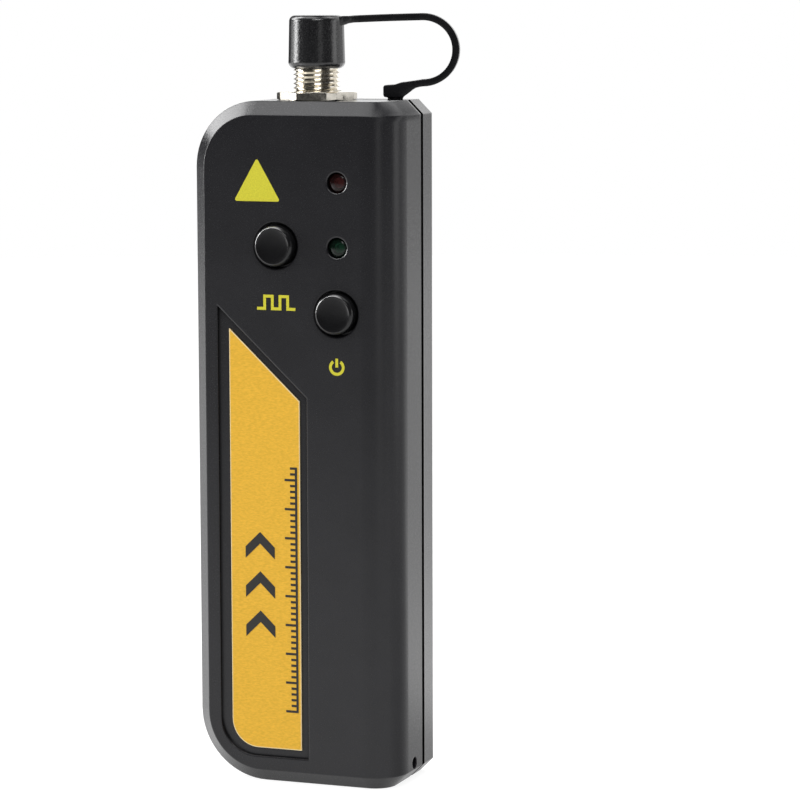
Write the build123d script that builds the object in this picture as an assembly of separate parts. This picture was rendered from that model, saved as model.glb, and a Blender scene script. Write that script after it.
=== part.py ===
"""Visual fault locator: a pocket laser source that sends red light into an optical fibre.

Two moulded half shells, split behind the middle of the depth, hold a circuit board, a laser
module under a threaded fibre port, and two AAA cells side by side behind a rear door.

Frame: +Z runs up the case from its flat bottom end to the fibre port, the front face with the
buttons and lamps looks toward -Y, and +X is to the right as the front is read. The origin is
the centre of the bottom face. All sizes are in millimetres.
"""
import math
import os

from build123d import *

# ---------------------------------------------------------------- case
case_width = 36.8
case_depth = 19.0
case_height = 116.8
wall = 1.8
top_corner = 11.2          # plan radius of the upper left corner, seen from the front
bottom_corner = 12.0       # the same for the lower left corner
side_round = 6.0           # large fillet down the right front edge
rim_bevel = 2.35           # 45 degree bevel round the front, and across the right end corners
back_round = 1.0
edge_ease = 0.2            # small round where the shells meet
parting_depth = 13.35      # from the front face to the middle of the parting groove
groove_width = 0.7
tongue_reach = 0.9         # how far the front shell's tongue goes into the rear shell
tongue_setback = 0.9       # from the outer surface to the tongue, the depth of the groove
fit_gap = 0.1              # running clearance between neighbouring pieces
same_place = 0.01          # how near two places are taken as one

front_y = -case_depth / 2
back_y = case_depth / 2
parting_y = front_y + parting_depth
inner_front_y = front_y + wall
inner_back_y = back_y - wall
half_width = case_width / 2

# ---------------------------------------------------------------- front panel
lamp_x = 8.1
lamp_drops = {"red": 13.45, "green": 24.35}   # below the top of the case
lamp_hole_radius = 1.75
button_places = {"mod": (-3.0, 24.2), "pwr": (7.9, 35.4)}   # x, and drop below the top
button_hole_radius = 3.9
button_top_radius = 3.05
button_base_radius = 3.55
button_flange_radius = 4.6
button_flange_thickness = 0.8
button_proud = 1.5
button_dish = 0.15
button_travel = 0.5

# ---------------------------------------------------------------- label recess
recess_left = -13.8
recess_right = 2.4
recess_bottom = 4.7
recess_tip = 82.1          # height of the point at the upper left
recess_shoulder = 66.9     # height where the slope meets the right side
recess_corner = 6.5
recess_depth = 0.6
label_thickness = 0.25
label_margin = 1.4         # recess edge to label edge
label_left_extra = 0.6
label_corner = 4.8
print_thickness = 0.04

# ---------------------------------------------------------------- print
chevron_width = 5.4        # across the label
chevron_stroke = 2.0
chevron_rise = 2.6
chevron_pitch = 6.8
chevron_count = 3
chevron_place = (-6.4, 25.4)       # foot of the lowest chevron
rule_x = 0.5               # right edge of the ruled strip beside the chevrons
rule_low = 12.8
rule_pitch = 1.0
rule_count = 43
rule_long = 2.3
rule_short = 1.3
rule_stroke = 0.4
rule_every = 5             # each fifth tick is a long one
triangle_side = 8.45
triangle_place = (-6.3, 9.45)      # x, and drop of the point below the top
triangle_corner = 0.3
mark_stroke = 0.5
pulse_place = (-2.95, 33.8)        # x, and drop of the middle below the top
pulse_width = 7.0
pulse_height = 2.1
pulse_steps = 5
power_place = (8.0, 44.4)
power_radius = 1.15
power_gap = 70.0                   # opening at the top of the ring, degrees
power_bar_length = 1.5
power_bar_rise = 0.75              # ring centre to the bar's middle

# ---------------------------------------------------------------- fibre port
port_x = 0.85
thread_radius = 3.95       # M8 x 0.75, crest
barrel_rise = 10.3         # above the top of the case
barrel_flange_radius = 5.6
barrel_flange_thickness = 1.6
spigot_radius = 3.2
spigot_length = 3.0
well_radius = 2.9          # ring space round the sleeve holder
well_depth = 5.5
holder_radius = 2.1
holder_drop = 0.8
key_slot_width = 2.2
key_slot_depth = 2.2
ferrule_radius = 1.25
sleeve_wall = 0.35
sleeve_length = 10.7
sleeve_drop = 0.4          # below the holder's rim
sleeve_slit = 0.3
light_path_radius = 1.0
nut_across_flats = 12.4
nut_thickness = 1.5
nut_turn = 20.7            # where the nut stopped when it was tightened, degrees
pin_gap = 0.05             # radial clearance of turned metal in its hole

# ---------------------------------------------------------------- dust cap and strap
cap_lift = 5.35            # underside of the cap above the top of the case
cap_height = 8.9
cap_base_radius = 4.8
cap_top_radius = 4.65
cap_lip_radius = 4.1
cap_lip_height = 1.3
cap_lip_curl = (0.5, 0.4)  # how far out and up the rounded lip passes half way
cap_top_round = 1.0
cap_cavity_depth = 6.4
strap_thickness = 0.95
strap_width = 3.2
loop_radius = 6.15         # outside of the bend
loop_reach = 18.1          # cap axis to the centre of the bend
loop_drop = 0.15           # middle of the top run below the cap top, where it turns
strap_start_drop = 0.15    # cap top to the strap's upper face, at the cap
anchor_inset = 4.8         # plug axis from the side of the case, on the parting plane
anchor_length = 3.9
anchor_height = 2.05
anchor_neck_height = 0.45
anchor_toe = 1.3           # how far the block reaches past the plug before it slopes up
plug_radius = 1.3
plug_head_radius = 1.8
plug_head_height = 1.4

# ---------------------------------------------------------------- laser module
module_radius = 4.0
module_length = 14.4
module_bore_radius = 2.2
diode_base_radius = 2.8
diode_base_thickness = 1.2
diode_can_radius = 1.95
diode_can_height = 2.6
diode_lead_spread = 1.0
diode_lead_radius = 0.225
diode_lead_bend = 0.8
lens_height = 7.0          # lens seat above the module's lower end
lens_thickness = 1.6
lens_face_radius = 3.2

# ---------------------------------------------------------------- circuit board
board_thickness = 1.0
board_side_gap = 1.3       # board edge to the side wall
board_to_bay = 1.3         # board's lower edge above the battery bay
board_notch_gap = 0.9      # round the laser module
board_neck = 1.2           # module's lower end to the bottom of the notch
board_ear_rise = 3.2       # left ear above the notch
lamp_arm_half_width = 2.5
lamp_arm_overlap = 2.7     # board above the upper lamp
switch_size = 6.0
switch_height = 3.4
plunger_radius = 1.75
plunger_out = 0.9
plunger_in = 0.6
lamp_radius = 1.5
lamp_length = 6.5
lamp_flange_radius = 1.9
lamp_flange_thickness = 1.0
lamp_lead_radius = 0.25
lamp_lead_spread = 1.27
lead_tail = 0.6            # lead left standing past the board
hole_gap = 0.1             # board hole round a lead
chip_size = (5.0, 4.0, 1.5)
chip_place = (0.0, 12.0)   # x, and height above the board's lower edge
small_chip_size = (2.0, 1.25, 0.6)
small_chip_rows = 2
small_chip_columns = 4
small_chip_pitch = (3.4, 2.6)
small_chip_place = (-8.2, 17.0)   # centre of the pattern, placed as the chip is

# ---------------------------------------------------------------- cells and contacts
cell_radius = 5.25         # AAA
cell_length = 44.5
cell_nub_radius = 1.9
cell_nub_height = 0.8
cell_gap = 0.4             # between the two cells
bay_bottom = 8.5
bay_side_gap = 0.5
bay_floor_gap = 0.2
bay_wall = 1.2
cell_to_door = 0.9
contact_thickness = 0.3
contact_half_width = 3.6
contact_boss_radius = 2.2
contact_boss_height = 1.0
tab_half_width = 1.2
tab_overlap = 3.0          # contact tab on the board
spring_height = 5.4
spring_radius = 3.0
spring_wire_radius = 0.3
spring_turns = 4

# ---------------------------------------------------------------- battery door
door_thickness = 1.6
door_gap = 0.2
door_pad_height = 0.7
door_pad_width = 3.5
door_pad_length = 17.0
door_grip_count = 4
door_grip_pitch = 1.6
door_grip_half_length = 5.0
door_grip_height = 0.3
door_grip_drop = 8.0       # from the door's upper end to the middle of the ridges

# ---------------------------------------------------------------- screws and posts
post_radius = 2.0
upper_post_inset = 6.0     # left upper post from the side of the case
upper_post_drops = (11.3, 9.8)     # left and right upper posts below the top
upper_post_gap = 0.4       # right upper post beside the board's lamp arm
lower_post_height = 22.0
shell_screw_radius = 0.95
shell_screw_length = 9.5
shell_screw_head_radius = 1.9
shell_screw_head_height = 1.3
shell_screw_seat = 1.6     # depth of the counterbore
screw_fit = 0.05           # radial clearance of a screw in its pilot hole
screw_pass = 0.15          # radial clearance where a screw passes through
board_screw_inset = 2.6    # from the board's sides
board_screw_drop = 3.3     # upper ones below the notch
board_screw_rise = 3.5     # lower ones above the board's lower edge
board_post_radius = 1.8
board_screw_radius = 0.7
board_screw_length = 3.5
board_screw_head_radius = 1.4
board_screw_head_height = 0.9
drive_arm = 0.25           # half width of a cross recess
drive_margin = 0.7         # rim left round the recess
lanyard_radius = 1.05
lanyard_height = 3.45
lanyard_y = -0.6
lanyard_block = 5.6        # solid corner that the lanyard passes through

# ---------------------------------------------------------------- levels that follow
cap_base_z = case_height + cap_lift
cap_top_z = cap_base_z + cap_height
barrel_top_z = case_height + barrel_rise
label_face_y = front_y + recess_depth - label_thickness
roof_z = case_height - wall
flange_z = roof_z - barrel_flange_thickness
spigot_z = flange_z - spigot_length
module_bottom_z = flange_z - module_length
notch_z = module_bottom_z - board_neck
flange_face_y = inner_front_y + fit_gap
plunger_face_y = flange_face_y + button_flange_thickness
board_front_y = plunger_face_y + plunger_out + switch_height
board_back_y = board_front_y + board_thickness
bay_length = cell_length + spring_height + contact_boss_height + 2 * contact_thickness
bay_top = bay_bottom + bay_length
cell_x = cell_radius + cell_gap / 2
bay_half_width = cell_x + cell_radius + bay_side_gap
door_face_y = back_y - door_thickness
cell_y = door_face_y - cell_to_door - cell_radius
bay_floor_y = cell_y - cell_radius - bay_floor_gap
ledge_y = door_face_y - fit_gap
opening_half_width = bay_half_width + bay_wall
opening_bottom = bay_bottom - bay_wall
opening_top = bay_top + bay_wall
door_bottom = opening_bottom + door_gap
door_top = opening_top - door_gap
board_bottom = opening_top + board_to_bay
board_half_width = half_width - wall - board_side_gap
anchor_x = half_width - anchor_inset
strap_turn = math.degrees(math.atan2(parting_y, anchor_x - port_x))
anchor_reach = math.hypot(parting_y, anchor_x - port_x)
lower_post_x = opening_half_width + post_radius + fit_gap
shell_screw_places = [
    (upper_post_inset - half_width, case_height - upper_post_drops[0]),
    (lamp_x + lamp_arm_half_width + upper_post_gap + post_radius, case_height - upper_post_drops[1]),
    (-lower_post_x, lower_post_height),
    (lower_post_x, lower_post_height),
]
board_screw_places = [
    (side * (board_half_width - board_screw_inset), z)
    for z in (notch_z - board_screw_drop, board_bottom + board_screw_rise)
    for side in (-1, 1)
]


# ---------------------------------------------------------------- shape helpers
def block(x, y, z):
    """A box from (low, high) pairs along each axis."""
    size = [high - low for low, high in (x, y, z)]
    middle = [(high + low) / 2 for low, high in (x, y, z)]
    return Pos(*middle) * Box(*size)


def rod_x(y, z, radius, start, stop):
    return Pos((start + stop) / 2, y, z) * Rot(0, 90, 0) * Cylinder(radius, stop - start)


def rod_y(x, z, radius, start, stop):
    return Pos(x, (start + stop) / 2, z) * Rot(90, 0, 0) * Cylinder(radius, stop - start)


def rod_z(x, y, radius, start, stop):
    return Pos(x, y, (start + stop) / 2) * Cylinder(radius, stop - start)


def front_plate(outline, face_y, thickness):
    """A flat outline, drawn as the front is read, raised toward -Y up to face_y."""
    back = Plane(origin=(0, face_y + thickness, 0), x_dir=(1, 0, 0), z_dir=(0, -1, 0))
    return extrude(back * outline, thickness)


def group(pieces):
    """Separate solids that share one node."""
    return Compound([solid for piece in pieces for solid in piece.solids()])


def below_top(drop):
    return case_height - drop


# ---------------------------------------------------------------- case form
def case_form(inset=0.0):
    """The outside of the whole case, moved in by inset all over."""
    right = half_width - inset
    front, back = front_y + inset, back_y - inset
    low, high = inset, case_height - inset
    form = block((-right, right), (front, back), (low, high))

    left_corners = form.edges().filter_by(Axis.Y).group_by(Axis.X)[0].sort_by(Axis.Z)
    form = fillet(left_corners[0], bottom_corner - inset)
    left_corners = form.edges().filter_by(Axis.Y).group_by(Axis.X)[0].sort_by(Axis.Z)
    form = fillet(left_corners[-1], top_corner - inset)
    right_front = form.edges().filter_by(Axis.Z).group_by(Axis.X)[-1].sort_by(Axis.Y)[0]
    round_radius = side_round - inset
    form = fillet(right_front, round_radius)

    # a 45 degree bevel behind a wall is shorter than the outer one by 2 - sqrt(2) walls
    rim = rim_edges(form, front, back, right - round_radius)
    return chamfer(rim, rim_bevel - inset * (2 - math.sqrt(2)))


def rim_edges(form, front, back, seam_x):
    """The front rim, the ends of the side fillet and the right ends, without the upright lines."""
    rim = []
    for edge in form.edges():
        middle = edge.center()
        at_right = middle.X > seam_x - same_place
        on_front = abs(middle.Y - front) < same_place
        on_back = abs(middle.Y - back) < same_place
        upright = at_right and edge.length > case_height / 2
        if (on_front or at_right) and not (upright or on_back):
            rim.append(edge)
    return rim


def half_outside(front_half):
    """The outer form of one half, with eased edges at the groove."""
    half_groove = groove_width / 2
    if front_half:
        half = case_form() & slab(front_y, parting_y - half_groove)
        return fillet(half.faces().sort_by(Axis.Y)[-1].edges(), edge_ease)
    half = case_form() & slab(parting_y + half_groove, back_y)
    half = fillet(half.faces().sort_by(Axis.Y)[0].edges(), edge_ease)
    return fillet(half.faces().sort_by(Axis.Y)[-1].edges(), back_round)


def slab(start, stop):
    """All that lies between two depths."""
    return block((-case_width, case_width), (start, stop), (-case_height, 2 * case_height))


def wedge_outline(left, right, bottom, tip, shoulder, corner):
    """The label's outline: a tall strip with a sloping top and one round corner."""
    points = [(left, bottom), (right, bottom), (right, shoulder), (left, tip)]
    face = make_face(Polyline(*points, close=True))
    return fillet(face.vertices().sort_by(Axis.Y)[:2].sort_by(Axis.X)[0], corner)


# ---------------------------------------------------------------- shells
def make_front_shell():
    hollow = case_form(wall)
    shell = half_outside(True) - hollow
    tongue = case_form(tongue_setback) - hollow
    shell += tongue & slab(parting_y - groove_width, parting_y + tongue_reach)

    post_end_y = parting_y - fit_gap
    for x, z in shell_screw_places:
        shell += rod_y(x, z, post_radius, inner_front_y - fit_gap, post_end_y)
    for x, z in board_screw_places:
        shell += rod_y(x, z, board_post_radius, inner_front_y - fit_gap, board_front_y)
    corner = block(
        (half_width - lanyard_block, half_width), (lanyard_y - 2 * lanyard_radius, post_end_y),
        (0, lanyard_block),
    )
    shell += corner & case_form(fit_gap)

    for x, z in shell_screw_places:
        pilot = shell_screw_radius + screw_fit
        tip_y = back_y - shell_screw_seat - shell_screw_length
        shell -= rod_y(x, z, pilot, tip_y - fit_gap, post_end_y + fit_gap)
    for x, z in board_screw_places:
        pilot = board_screw_radius + screw_fit
        tip_y = board_back_y - board_screw_length
        shell -= rod_y(x, z, pilot, tip_y - fit_gap, board_front_y + fit_gap)
    for x, drop in button_places.values():
        shell -= rod_y(x, below_top(drop), button_hole_radius, front_y - wall, inner_front_y + wall)
    for drop in lamp_drops.values():
        shell -= rod_y(lamp_x, below_top(drop), lamp_hole_radius, front_y - wall, inner_front_y + wall)

    recess = wedge_outline(
        recess_left, recess_right, recess_bottom, recess_tip, recess_shoulder, recess_corner
    )
    shell -= front_plate(recess, front_y, recess_depth)
    face = shell.faces().filter_by(Plane.XZ).sort_by(Axis.Y)[0]
    shell = fillet([edge for rim in face.inner_wires() for edge in rim.edges()], edge_ease)
    shell -= roof_holes()
    bar_x = half_width - lanyard_block + 2 * lanyard_radius
    shell -= rod_x(lanyard_y, lanyard_height, lanyard_radius, bar_x - lanyard_radius, case_width)
    shell -= rod_z(bar_x, lanyard_y, lanyard_radius, -wall, lanyard_height + lanyard_radius)
    return shell


def roof_holes():
    """Holes through the top wall for the port barrel and the strap's plug."""
    span = (roof_z - wall, case_height + wall)
    barrel_hole = rod_z(port_x, 0, thread_radius + pin_gap, *span)
    return barrel_hole + rod_z(anchor_x, parting_y, plug_radius + pin_gap, *span)


def make_rear_shell():
    hollow = case_form(wall)
    shell = half_outside(False) - hollow
    for x, z in shell_screw_places:
        shell += rod_y(x, z, post_radius, parting_y + fit_gap, inner_back_y + fit_gap) & case_form(fit_gap)
    shell += block(
        (-opening_half_width, opening_half_width), (bay_floor_y - bay_wall, inner_back_y + fit_gap),
        (opening_bottom, opening_top),
    )
    rebate = case_form(tongue_setback - fit_gap) - case_form(wall + fit_gap)
    shell -= rebate & slab(parting_y - groove_width, parting_y + tongue_reach + fit_gap)
    shell -= block(
        (-bay_half_width, bay_half_width), (bay_floor_y, back_y), (bay_bottom, bay_top)
    )
    shell -= block(
        (-opening_half_width, opening_half_width), (ledge_y, back_y + wall),
        (opening_bottom, opening_top),
    )
    for x in (-cell_x, cell_x):
        shell -= block(
            (x - tab_half_width - fit_gap, x + tab_half_width + fit_gap),
            (board_back_y - fit_gap, board_back_y + contact_thickness + fit_gap),
            (bay_top - fit_gap, opening_top + fit_gap),
        )
    for x, z in shell_screw_places:
        seat_y = back_y - shell_screw_seat
        shell -= rod_y(x, z, shell_screw_radius + screw_pass, parting_y - wall, back_y)
        shell -= rod_y(x, z, shell_screw_head_radius + screw_pass, seat_y, back_y + wall)
    return shell - roof_holes()


def make_battery_door():
    """A flat door that turns out about its round lower edge."""
    nose = door_thickness / 2
    half = opening_half_width - door_gap
    door = block((-half, half), (door_face_y, back_y), (door_bottom + nose, door_top))
    door += rod_x(door_face_y + nose, door_bottom + nose, nose, -half, half)
    pad_y = (door_face_y - door_pad_height, door_face_y)
    pad_middle = (bay_bottom + bay_top) / 2
    pad_z = (pad_middle - door_pad_length / 2, pad_middle + door_pad_length / 2)
    for x in (-cell_x, cell_x):
        door += block((x - door_pad_width / 2, x + door_pad_width / 2), pad_y, pad_z)
    for index in range(door_grip_count):
        z = door_top - door_grip_drop + (index - (door_grip_count - 1) / 2) * door_grip_pitch
        length = 2 * door_grip_half_length
        door += Pos(0, back_y, z) * Rot(0, 90, 0) * Cylinder(door_grip_height, length)
    return door


# ---------------------------------------------------------------- label and print
def label_outline():
    left = recess_left + label_margin + label_left_extra
    right = recess_right - label_margin
    # the slope keeps the same distance from the recess edge as the straight sides
    rise = (recess_tip - recess_shoulder) / (recess_right - recess_left)
    drop = label_margin * math.hypot(1, rise)
    shoulder = recess_shoulder - drop + rise * label_margin
    tip = recess_tip - drop - rise * (left - recess_left)
    return wedge_outline(left, right, recess_bottom + label_margin, tip, shoulder, label_corner)


def make_label():
    return front_plate(label_outline(), label_face_y, label_thickness)


def make_label_marks():
    """Bold arrow heads that point to the port, and a plain millimetre rule beside them."""
    marks = []
    x, z = chevron_place
    half = chevron_width / 2
    for index in range(chevron_count):
        low = z + index * chevron_pitch
        points = [
            (x - half, low), (x, low + chevron_rise), (x + half, low),
            (x + half, low + chevron_stroke), (x, low + chevron_rise + chevron_stroke),
            (x - half, low + chevron_stroke),
        ]
        face = make_face(Polyline(*points, close=True))
        marks.append(front_plate(face, label_face_y - print_thickness, print_thickness))

    length = (rule_count - 1) * rule_pitch
    spine = Rectangle(rule_stroke, length + rule_stroke)
    comb = Pos(rule_x - rule_stroke / 2, rule_low + length / 2) * spine
    for index in range(rule_count):
        reach = rule_short if index % rule_every else rule_long
        comb += Pos(rule_x - reach / 2, rule_low + index * rule_pitch) * Rectangle(reach, rule_stroke)
    marks.append(front_plate(comb, label_face_y - print_thickness, print_thickness))
    return group(marks)


def make_front_marks():
    """Printed on the front: a plain triangle, a pulse sign and a power sign."""
    x, drop = triangle_place
    height = triangle_side * math.sqrt(3) / 2
    apex = below_top(drop)
    points = [(x, apex), (x - triangle_side / 2, apex - height), (x + triangle_side / 2, apex - height)]
    triangle = make_face(Polyline(*points, close=True))
    triangle = fillet(triangle.vertices(), triangle_corner)

    x, drop = pulse_place
    z = below_top(drop)
    step = pulse_width / pulse_steps
    low, high = z - pulse_height / 2, z + pulse_height / 2
    start = x - pulse_width / 2
    path = [(start, low)]
    for index in range(1, pulse_steps):
        near, far = (low, high) if index % 2 else (high, low)
        path += [(start + index * step, near), (start + index * step, far)]
    path.append((start + pulse_width, low))
    pulse = trace(Polyline(*path), line_width=mark_stroke)

    x, drop = power_place
    z = below_top(drop)
    arc = CenterArc((x, z), power_radius, 90 + power_gap / 2, 360 - power_gap)
    power = trace(arc, line_width=mark_stroke)
    power += Pos(x, z + power_bar_rise) * Rectangle(mark_stroke, power_bar_length)

    marks = [triangle, pulse, power]
    return group([front_plate(face, front_y - print_thickness, print_thickness) for face in marks])


# ---------------------------------------------------------------- buttons and lamps
def make_button(name):
    x, drop = button_places[name]
    z = below_top(drop)
    top_y = front_y - button_proud
    cone_height = button_proud
    cone = Rot(90, 0, 0) * Cone(button_base_radius, button_top_radius, cone_height)
    button = Pos(x, front_y - cone_height / 2, z) * cone
    button = fillet(button.faces().sort_by(Axis.Y)[0].edges(), edge_ease)
    dish_radius = (button_top_radius**2 + button_dish**2) / (2 * button_dish)
    button -= Pos(x, top_y + button_dish - dish_radius, z) * Sphere(dish_radius)
    button += rod_y(x, z, button_base_radius, front_y, flange_face_y)
    return button + rod_y(x, z, button_flange_radius, flange_face_y, plunger_face_y)


def make_plunger(name):
    x, drop = button_places[name]
    end_y = plunger_face_y + plunger_out + plunger_in
    return rod_y(x, below_top(drop), plunger_radius, plunger_face_y, end_y)


def make_tact_switches():
    bodies = []
    for x, drop in button_places.values():
        z = below_top(drop)
        half = switch_size / 2
        top_y = board_front_y - switch_height
        body = block((x - half, x + half), (top_y, board_front_y), (z - half, z + half))
        body = chamfer(body.edges().filter_by(Axis.Y), edge_ease)
        well = plunger_in + button_travel + fit_gap
        bodies.append(body - rod_y(x, z, plunger_radius + fit_gap, top_y - fit_gap, top_y + well))
    return group(bodies)


def make_lamp(name):
    z = below_top(lamp_drops[name])
    tip_y = board_front_y - lamp_length
    lamp = rod_y(lamp_x, z, lamp_radius, tip_y + lamp_radius, board_front_y)
    lamp += Pos(lamp_x, tip_y + lamp_radius, z) * Sphere(lamp_radius)
    return lamp + rod_y(lamp_x, z, lamp_flange_radius, board_front_y - lamp_flange_thickness, board_front_y)


def lamp_lead_places():
    for drop in lamp_drops.values():
        for side in (-1, 1):
            yield lamp_x + side * lamp_lead_spread / 2, below_top(drop)


def make_lamp_leads():
    leads = [
        rod_y(x, z, lamp_lead_radius, board_front_y, board_back_y + lead_tail)
        for x, z in lamp_lead_places()
    ]
    return group(leads)


# ---------------------------------------------------------------- circuit board
def diode_lead_starts():
    """X and Y of the three leads where they leave the laser diode."""
    yield port_x - diode_lead_spread, 0
    yield port_x + diode_lead_spread, 0
    yield port_x, -diode_lead_spread


diode_lead_z = notch_z - board_neck


def make_board():
    y = (board_front_y, board_back_y)
    notch = module_radius + board_notch_gap
    board = block((-board_half_width, board_half_width), y, (board_bottom, notch_z))
    board += block((-board_half_width, port_x - notch), y, (notch_z, notch_z + board_ear_rise))
    arm_top = below_top(lamp_drops["red"]) + lamp_arm_overlap
    board += block(
        (lamp_x - lamp_arm_half_width, lamp_x + lamp_arm_half_width), y, (notch_z, arm_top)
    )
    span = (board_front_y - fit_gap, board_back_y + fit_gap)
    for x, z in board_screw_places:
        board -= rod_y(x, z, board_screw_radius + screw_pass, *span)
    for x, z in lamp_lead_places():
        board -= rod_y(x, z, lamp_lead_radius + hole_gap, *span)
    for x, _ in diode_lead_starts():
        board -= rod_y(x, diode_lead_z, diode_lead_radius + hole_gap, *span)
    return board


def make_driver_chip():
    (x, z), (width, height, thickness) = chip_place, chip_size
    y = (board_back_y, board_back_y + thickness)
    z += board_bottom
    chip = block((x - width / 2, x + width / 2), y, (z - height / 2, z + height / 2))
    return chamfer(chip.faces().sort_by(Axis.Y)[-1].edges(), edge_ease)


def make_small_chips():
    chips = []
    width, height, thickness = small_chip_size
    for row in range(small_chip_rows):
        for column in range(small_chip_columns):
            x = small_chip_place[0] + (column - (small_chip_columns - 1) / 2) * small_chip_pitch[0]
            rise = small_chip_place[1] + (row - (small_chip_rows - 1) / 2) * small_chip_pitch[1]
            z = board_bottom + rise
            y = (board_back_y, board_back_y + thickness)
            chips.append(block((x - width / 2, x + width / 2), y, (z - height / 2, z + height / 2)))
    return group(chips)


# ---------------------------------------------------------------- laser module
def make_laser_housing():
    low, high = module_bottom_z, flange_z
    housing = rod_z(port_x, 0, module_radius, low, high)
    housing -= rod_z(port_x, 0, module_bore_radius, low - wall, high + wall)
    housing -= rod_z(port_x, 0, spigot_radius + pin_gap, spigot_z - fit_gap, high + wall)
    return housing - rod_z(port_x, 0, diode_base_radius + pin_gap, low - wall, low + diode_base_thickness)


def make_laser_diode():
    low = module_bottom_z
    shoulder = low + diode_base_thickness
    base = rod_z(port_x, 0, diode_base_radius, low, shoulder)
    can = rod_z(port_x, 0, diode_can_radius, shoulder, shoulder + diode_can_height)
    return base + fillet(can.faces().sort_by(Axis.Z)[-1].edges(), edge_ease)


def make_diode_leads():
    leads = []
    for x, y in diode_lead_starts():
        points = [
            (x, y, module_bottom_z), (x, y, diode_lead_z), (x, board_front_y - lead_tail, diode_lead_z)
        ]
        path = FilletPolyline(*points, radius=diode_lead_bend)
        section = Plane(origin=points[0], z_dir=(0, 0, -1)) * Circle(diode_lead_radius)
        leads.append(sweep(section, path=path))
    return group(leads)


def make_focus_lens():
    seat = module_bottom_z + lens_height
    lens = rod_z(port_x, 0, module_bore_radius - pin_gap, seat, seat + lens_thickness)
    return lens & Pos(port_x, 0, seat + lens_thickness - lens_face_radius) * Sphere(lens_face_radius)


# ---------------------------------------------------------------- fibre port
def make_port_barrel():
    top = barrel_top_z
    barrel = rod_z(port_x, 0, thread_radius, roof_z, top)
    barrel = chamfer(barrel.faces().sort_by(Axis.Z)[-1].edges(), 2 * edge_ease)
    barrel += rod_z(port_x, 0, barrel_flange_radius, flange_z, roof_z)
    barrel += rod_z(port_x, 0, spigot_radius, spigot_z, flange_z)
    ring = rod_z(port_x, 0, well_radius, top - well_depth, top + wall)
    barrel -= ring - rod_z(port_x, 0, holder_radius, top - well_depth, top - holder_drop)
    slot = block(
        (port_x - key_slot_width / 2, port_x + key_slot_width / 2), (-2 * thread_radius, -holder_radius),
        (top - key_slot_depth, top + wall),
    )
    barrel -= slot
    sleeve_top = top - holder_drop - sleeve_drop
    sleeve_bottom = sleeve_top - sleeve_length
    barrel -= rod_z(port_x, 0, ferrule_radius + sleeve_wall + pin_gap, sleeve_bottom, top)
    return barrel - rod_z(port_x, 0, light_path_radius, spigot_z - wall, top)


def make_ferrule_sleeve():
    """Split ceramic sleeve that lines up a 2.5 mm ferrule."""
    high = barrel_top_z - holder_drop - sleeve_drop
    low = high - sleeve_length
    sleeve = rod_z(port_x, 0, ferrule_radius + sleeve_wall, low, high)
    sleeve -= rod_z(port_x, 0, ferrule_radius, low - wall, high + wall)
    slit = (port_x - sleeve_slit / 2, port_x + sleeve_slit / 2)
    return sleeve - block(slit, (0, 2 * ferrule_radius), (low - wall, high + wall))


def make_port_nut():
    hexagon = RegularPolygon(nut_across_flats / 2, 6, major_radius=False, rotation=nut_turn)
    nut = Pos(port_x, 0, case_height) * extrude(hexagon, nut_thickness)
    nut = chamfer(nut.faces().sort_by(Axis.Z)[-1].edges(), edge_ease)
    span = (case_height - wall, case_height + 2 * nut_thickness)
    return nut - rod_z(port_x, 0, thread_radius + pin_gap, *span)


# ---------------------------------------------------------------- dust cap and strap
def make_dust_cap():
    """Rubber cap, turned profile: rounded lip, slight taper and rounded top."""
    cavity = thread_radius + pin_gap
    crown = cap_height - cap_top_round
    lip = Line((cavity, 0), (cap_lip_radius, 0))
    curl = ThreePointArc(
        lip @ 1, (cap_lip_radius + cap_lip_curl[0], cap_lip_curl[1]), (cap_base_radius, cap_lip_height)
    )
    side = Line(curl @ 1, (cap_top_radius, crown))
    shoulder = RadiusArc(side @ 1, (cap_top_radius - cap_top_round, cap_height), -cap_top_round)
    rest = Polyline(
        shoulder @ 1, (0, cap_height), (0, cap_cavity_depth), (cavity, cap_cavity_depth), (cavity, 0)
    )
    profile = make_face(Curve() + [lip, curl, side, shoulder, rest])
    cap = revolve(Plane.XZ * profile, Axis.Z)
    return Pos(port_x, 0, cap_base_z) * cap


def make_cap_strap():
    """Flat strap that loops from the cap's rim to a block with a plug, pressed in the roof."""
    bend_top = cap_top_z - loop_drop + strap_thickness / 2
    bend_z = bend_top - loop_radius
    inside = loop_radius - strap_thickness
    start = cap_base_radius + fit_gap
    start_top = cap_top_z - strap_start_drop
    block_low = case_height + anchor_neck_height
    block_high = block_low + anchor_height
    heel = anchor_reach - anchor_length / 2 + (plug_radius - anchor_toe)
    toe = anchor_reach + anchor_toe

    outer = CenterArc((loop_reach, bend_z), loop_radius, 90, -180)
    inner = CenterArc((loop_reach, bend_z), inside, -90, 180)
    top_run = Line((start, start_top), outer @ 0)
    foot = Polyline(
        outer @ 1, (toe + anchor_height, bend_z - loop_radius), (toe, block_low), (heel, block_low),
        (heel, block_high), inner @ 0,
    )
    under_run = Polyline(inner @ 1, (start, start_top - strap_thickness), (start, start_top))
    outline = make_face(Curve() + [top_run, outer, foot, inner, under_run])
    band = extrude(Plane.XZ * outline, strap_width / 2, both=True)

    band += rod_z(anchor_reach, 0, plug_radius, roof_z - fit_gap, block_low + edge_ease)
    head_top = roof_z - fit_gap
    head = Cone(plug_radius, plug_head_radius, plug_head_height)
    band += Pos(anchor_reach, 0, head_top - plug_head_height / 2) * head
    return Pos(port_x, 0, 0) * Rot(0, 0, strap_turn) * band


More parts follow.
